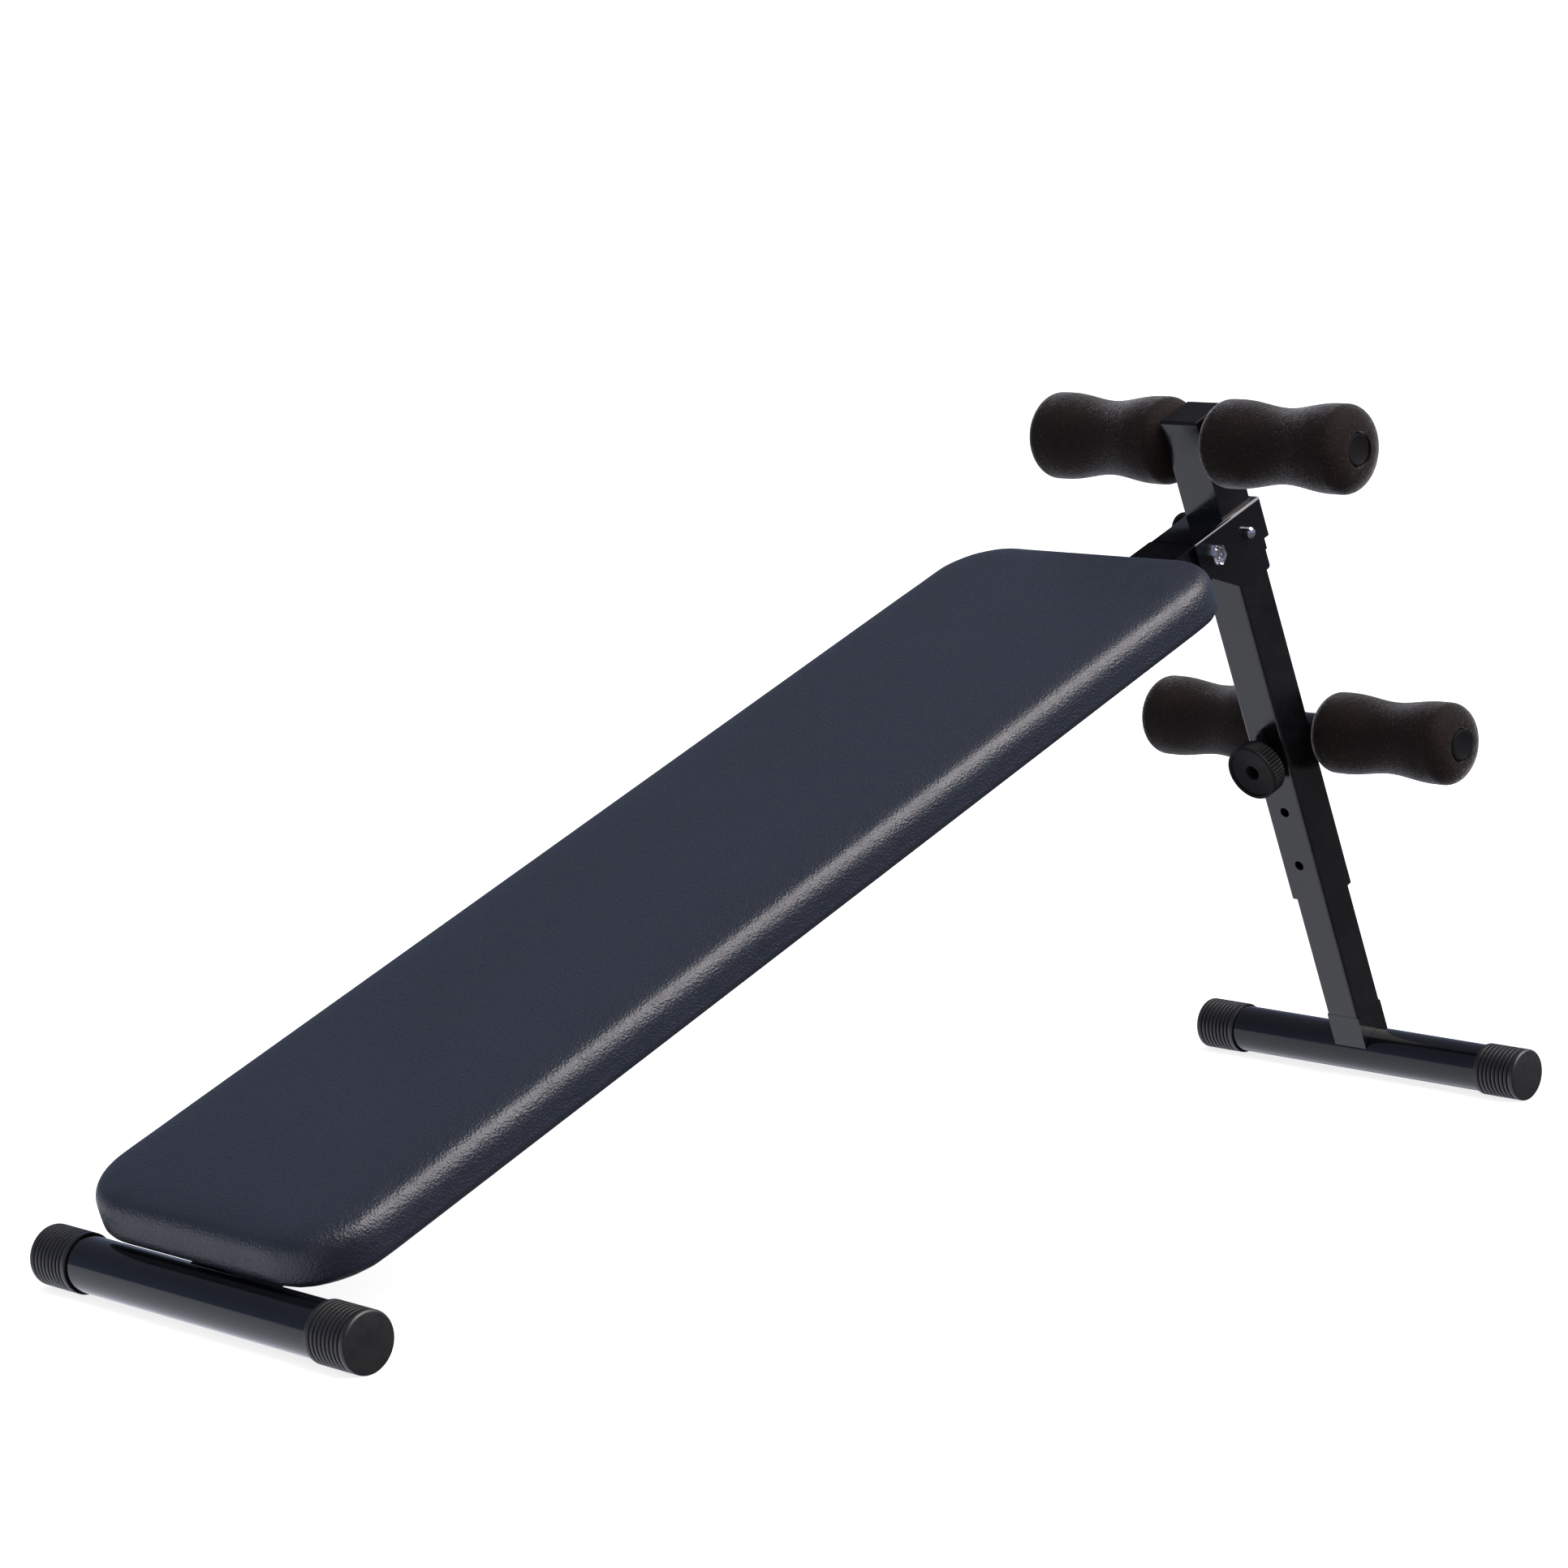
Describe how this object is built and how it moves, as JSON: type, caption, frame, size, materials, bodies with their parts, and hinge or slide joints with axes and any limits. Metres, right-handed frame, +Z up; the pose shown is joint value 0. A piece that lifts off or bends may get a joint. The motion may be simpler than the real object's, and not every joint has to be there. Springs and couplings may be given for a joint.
{
  "type": "decline sit up bench",
  "caption": "Padded decline bench on one square beam, with a folding telescopic post that carries foam leg rollers above and below the hinge.",
  "frame": {"origin": "on the floor, midway between the front and the rear foot and midway across", "axes": "+X from the low end towards the post, +Y to the left of a person facing +X, +Z up"},
  "size_m": [1.367, 0.362, 0.6222],
  "materials": {
    "gloss_black_steel": "gloss black powder coat",
    "satin_black_steel": "satin black powder coat",
    "cap_rubber": "matt black rubber",
    "plywood": "raw plywood",
    "pad_vinyl": "dark navy grained vinyl over foam",
    "zinc_steel": "zinc plated",
    "chrome_steel": "polished",
    "black_plastic": "matt black moulding",
    "roller_foam": "matt closed-cell foam"
  },
  "bodies": {
    "bench": {"front_foot_tube": "gloss_black_steel", "front_foot_cap_left": "cap_rubber", "front_foot_cap_right": "cap_rubber", "main_beam": "gloss_black_steel", "pad_plate_upper": "gloss_black_steel", "pad_plate_lower": "gloss_black_steel", "pad_board": "plywood", "pad_cushion": "pad_vinyl", "pad_bolt_1": "zinc_steel", "pad_bolt_2": "zinc_steel", "pad_bolt_3": "zinc_steel", "pad_bolt_4": "zinc_steel", "hinge_bolt": "zinc_steel", "hinge_nut": "zinc_steel", "hinge_washer_left": "zinc_steel", "hinge_washer_right": "zinc_steel", "hinge_bush": "zinc_steel"},
    "post": {"head_bracket": "gloss_black_steel", "post_sleeve": "gloss_black_steel", "upper_post_tube": "satin_black_steel", "outer_post_tube": "satin_black_steel", "post_top_cap": "black_plastic", "knob_boss": "satin_black_steel", "upper_roller_axle": "gloss_black_steel", "upper_axle_plug_left": "black_plastic", "upper_axle_plug_right": "black_plastic", "lower_roller_axle": "gloss_black_steel", "lower_axle_plug_left": "black_plastic", "lower_axle_plug_right": "black_plastic"},
    "leg": {"inner_post_tube": "satin_black_steel", "post_foot_saddle": "satin_black_steel", "rear_foot_tube": "gloss_black_steel", "rear_foot_cap_left": "cap_rubber", "rear_foot_cap_right": "cap_rubber"},
    "knob": {"knob_grip": "black_plastic", "knob_screw": "satin_black_steel"},
    "pin": {"lock_pin": "chrome_steel", "lock_pin_grip": "black_plastic"},
    "upper_left_roller": {"upper_foam_roller_left": "roller_foam"},
    "upper_right_roller": {"upper_foam_roller_right": "roller_foam"},
    "lower_left_roller": {"lower_foam_roller_left": "roller_foam"},
    "lower_right_roller": {"lower_foam_roller_right": "roller_foam"}
  },
  "joints": [
    {"name": "post_fold", "type": "hinge", "parent": "bench", "child": "post", "pos_m": [0.40186, 0, 0.48994], "axis": [0, 1, 0], "range_deg": [0, 80]},
    {"name": "height_slide", "type": "slide", "parent": "post", "child": "leg", "axis": [0.3987, 0, -0.9171], "range_m": [0, 0.109]},
    {"name": "knob_turn", "type": "hinge", "parent": "post", "child": "knob", "pos_m": [0.49931, 0, 0.2934], "axis": [0.9171, 0, 0.3987], "continuous": true},
    {"name": "lock_pin_pull", "type": "slide", "parent": "post", "child": "pin", "axis": [0, 1, 0], "range_m": [0, 0.06]},
    {"name": "upper_left_roller_spin", "type": "hinge", "parent": "post", "child": "upper_left_roller", "pos_m": [0.41645, 0.097, 0.58428], "axis": [0, 1, 0], "continuous": true},
    {"name": "upper_right_roller_spin", "type": "hinge", "parent": "post", "child": "upper_right_roller", "pos_m": [0.41645, -0.097, 0.58428], "axis": [0, 1, 0], "continuous": true},
    {"name": "lower_left_roller_spin", "type": "hinge", "parent": "post", "child": "lower_left_roller", "pos_m": [0.5683, 0.097, 0.32383], "axis": [0, 1, 0], "continuous": true},
    {"name": "lower_right_roller_spin", "type": "hinge", "parent": "post", "child": "lower_right_roller", "pos_m": [0.5683, -0.097, 0.32383], "axis": [0, 1, 0], "continuous": true}
  ]
}
